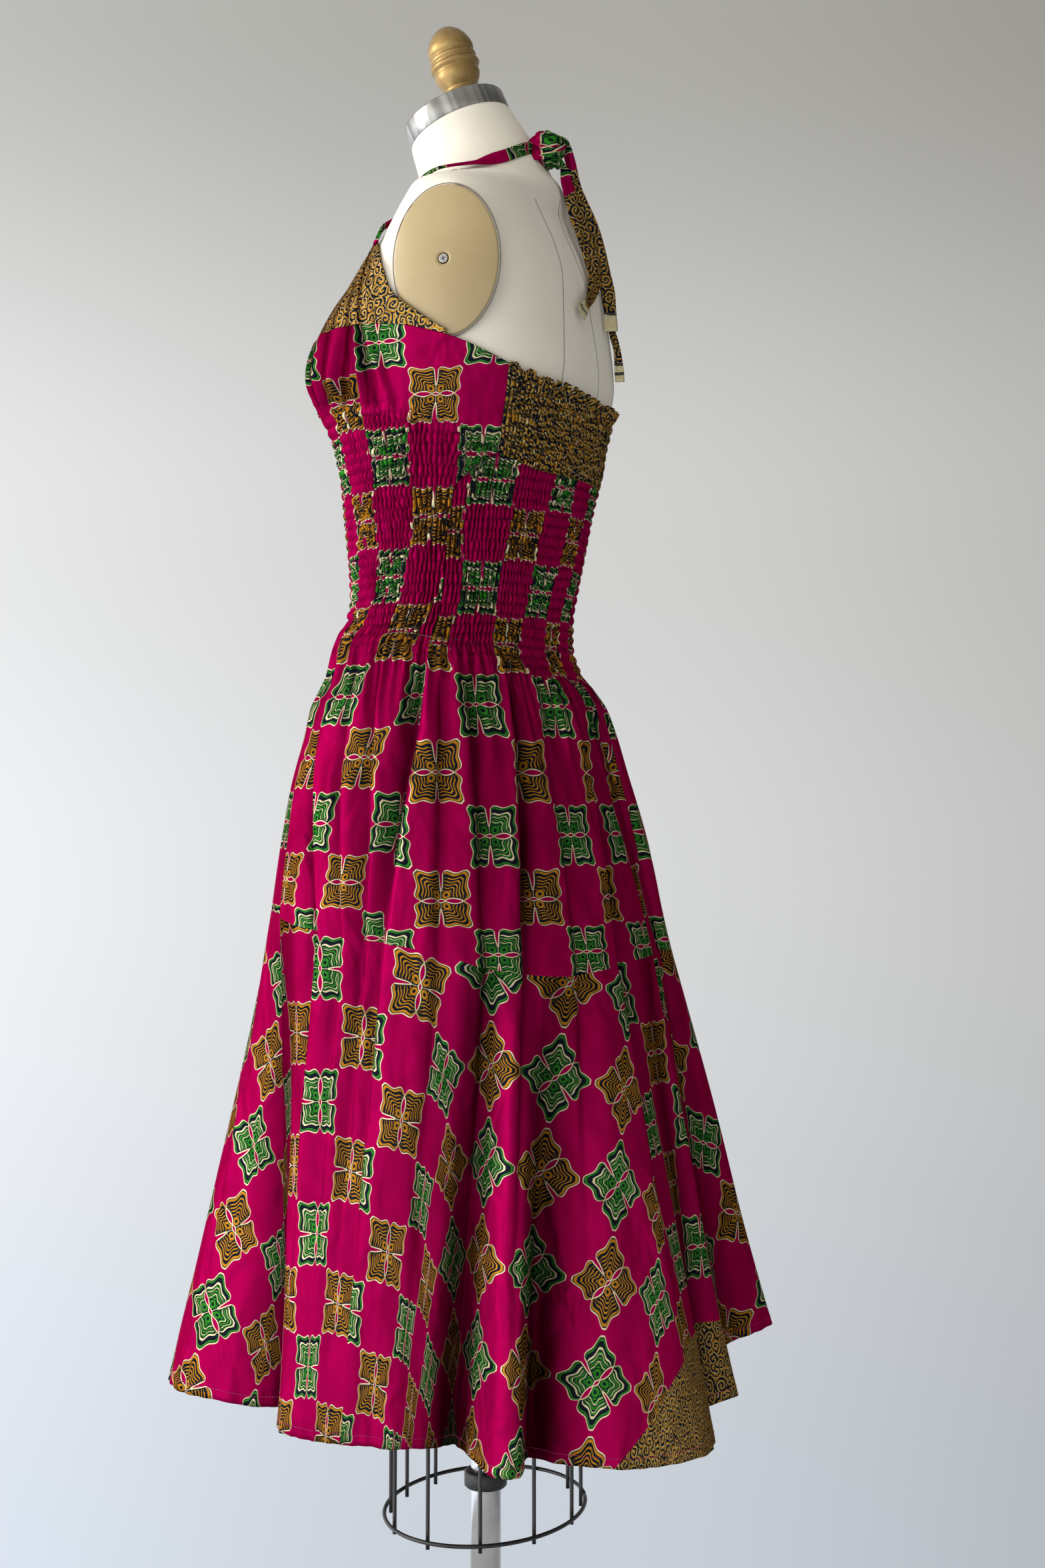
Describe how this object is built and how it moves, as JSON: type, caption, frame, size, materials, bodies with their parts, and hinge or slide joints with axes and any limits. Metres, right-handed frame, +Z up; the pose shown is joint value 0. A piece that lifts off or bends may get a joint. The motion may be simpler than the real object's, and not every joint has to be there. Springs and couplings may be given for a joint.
{
  "type": "halter dress on dress form",
  "caption": "Printed cotton halter sundress with smocked midriff and flared skirt, shown on a limbless dress form with a wire cage, pole and round base.",
  "frame": {"origin": "centre of the round base's underside on the floor, on the pole's axis", "axes": "+Z up along the pole, -Y towards the wearer's front, +X towards the wearer's left"},
  "size_m": [0.4585, 0.4888, 1.6192],
  "materials": {
    "canvas": "unbleached canvas, matt",
    "cap_steel": "brushed round its edge",
    "finial_metal": "satin gold turned metal",
    "arm_plate": "semi-gloss beige-gold",
    "screw_steel": "plain steel screw head",
    "base_iron": "black semi-matt paint on cast iron",
    "pole_chrome": "polished chrome tube",
    "collar_plastic": "black plastic collar",
    "cage_wire_black": "black painted wire",
    "printed_cotton": "plain-weave cotton, magenta with printed green and ochre flowers",
    "border_cotton": "plain-weave cotton, ochre border of the same cloth with fine black and cream lines"
  },
  "bodies": {
    "root": {"torso": "canvas", "neck_cap": "cap_steel", "finial": "finial_metal", "arm_plate_left": "arm_plate", "arm_plate_right": "arm_plate", "arm_screw_left": "screw_steel", "arm_screw_right": "screw_steel", "base_plate": "base_iron", "pole": "pole_chrome", "pole_collar": "collar_plastic", "cage_hoop": "cage_wire_black", "cage_wire_01": "cage_wire_black", "cage_wire_02": "cage_wire_black", "cage_wire_03": "cage_wire_black", "cage_wire_04": "cage_wire_black", "cage_wire_05": "cage_wire_black", "cage_wire_06": "cage_wire_black", "cage_wire_07": "cage_wire_black", "cage_wire_08": "cage_wire_black", "cage_wire_09": "cage_wire_black", "cage_wire_10": "cage_wire_black", "cage_wire_11": "cage_wire_black", "cage_wire_12": "cage_wire_black", "bodice_front": "printed_cotton", "midriff_front": "printed_cotton", "midriff_back": "printed_cotton", "upper_skirt_front": "printed_cotton", "upper_skirt_back": "printed_cotton", "lower_skirt_front": "printed_cotton", "lower_skirt_back": "printed_cotton", "strap_left": "printed_cotton", "strap_right": "printed_cotton", "neck_knot": "printed_cotton", "yoke_left": "border_cotton", "yoke_right": "border_cotton", "back_panel": "border_cotton", "tie_tail_near": "border_cotton", "tie_tail_outer": "border_cotton", "tie_tail_thin": "border_cotton"}
  },
  "joints": []
}
